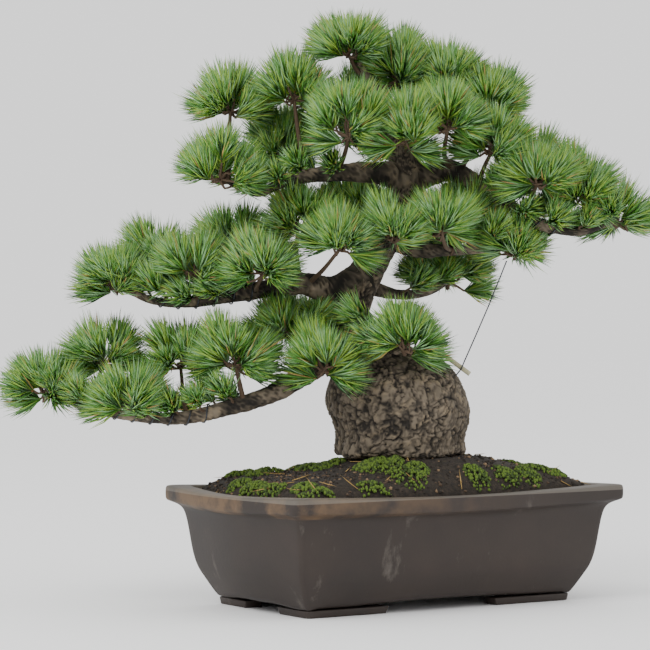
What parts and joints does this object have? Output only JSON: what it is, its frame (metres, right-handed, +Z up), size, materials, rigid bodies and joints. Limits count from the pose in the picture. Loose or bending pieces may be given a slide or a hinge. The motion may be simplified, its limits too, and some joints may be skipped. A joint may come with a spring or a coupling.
{
  "type": "potted pine bonsai",
  "caption": "Miniature trained pine with a stout boulder-like trunk base, a leaning upper trunk and layered needle pads, in a rectangular footed pot.",
  "frame": {"origin": "ground level, at the middle of the overall box seen from above", "axes": "+X along the pot's long side, +Y to the back, +Z up"},
  "size_m": [0.5822, 0.3662, 0.5995],
  "materials": {
    "pot_stoneware": "unglazed, matt",
    "soil": "granular, moist",
    "bark": "rough, flaking",
    "needles": "fine needles",
    "wire": "dull",
    "stick_wood": "peeled"
  },
  "bodies": {
    "root": {"pot": "pot_stoneware", "pot_foot_front_left": "pot_stoneware", "pot_foot_front_right": "pot_stoneware", "pot_foot_back_left": "pot_stoneware", "pot_foot_back_right": "pot_stoneware", "soil": "soil", "trunk": "bark", "bough_lower_back": "bark", "bough_lower_front": "bark", "bough_lower_left": "bark", "bough_middle_back": "bark", "bough_middle_left": "bark", "bough_middle_right": "bark", "bough_middle_right_low": "bark", "bough_upper_back": "bark", "bough_upper_left": "bark", "bough_upper_right": "bark", "foliage_lower_left_tip": "needles", "foliage_lower_left_outer": "needles", "foliage_lower_left_outer_front": "needles", "foliage_lower_left_middle": "needles", "foliage_lower_left_inner": "needles", "foliage_lower_left_inner_top": "needles", "foliage_lower_left_front": "needles", "foliage_lower_right_front": "needles", "foliage_lower_back": "needles", "foliage_middle_left_tip": "needles", "foliage_middle_left_outer": "needles", "foliage_middle_left_outer_front": "needles", "foliage_middle_left_back": "needles", "foliage_middle_left_front": "needles", "foliage_middle_left_inner": "needles", "foliage_middle_inner_front": "needles", "foliage_middle_trunk_front": "needles", "foliage_middle_right_front": "needles", "foliage_middle_trunk_back": "needles", "foliage_middle_right_inner": "needles", "foliage_middle_right_outer": "needles", "foliage_middle_right_low": "needles", "foliage_middle_back": "needles", "foliage_upper_left_tip": "needles", "foliage_upper_left_low": "needles", "foliage_upper_left_low_back": "needles", "foliage_upper_left_inner": "needles", "foliage_apex": "needles", "foliage_crown_right_top": "needles", "foliage_crown_front": "needles", "foliage_crown_front_right": "needles", "foliage_crown_right": "needles", "foliage_crown_right_front": "needles", "foliage_crown_right_outer": "needles", "foliage_crown_right_low": "needles", "foliage_crown_back": "needles", "foliage_crown_back_right": "needles", "foliage_right_inner": "needles", "foliage_right_middle": "needles", "foliage_right_tip": "needles", "foliage_right_back": "needles", "guy_wire": "wire", "toggle_stick": "stick_wood"}
  },
  "joints": []
}
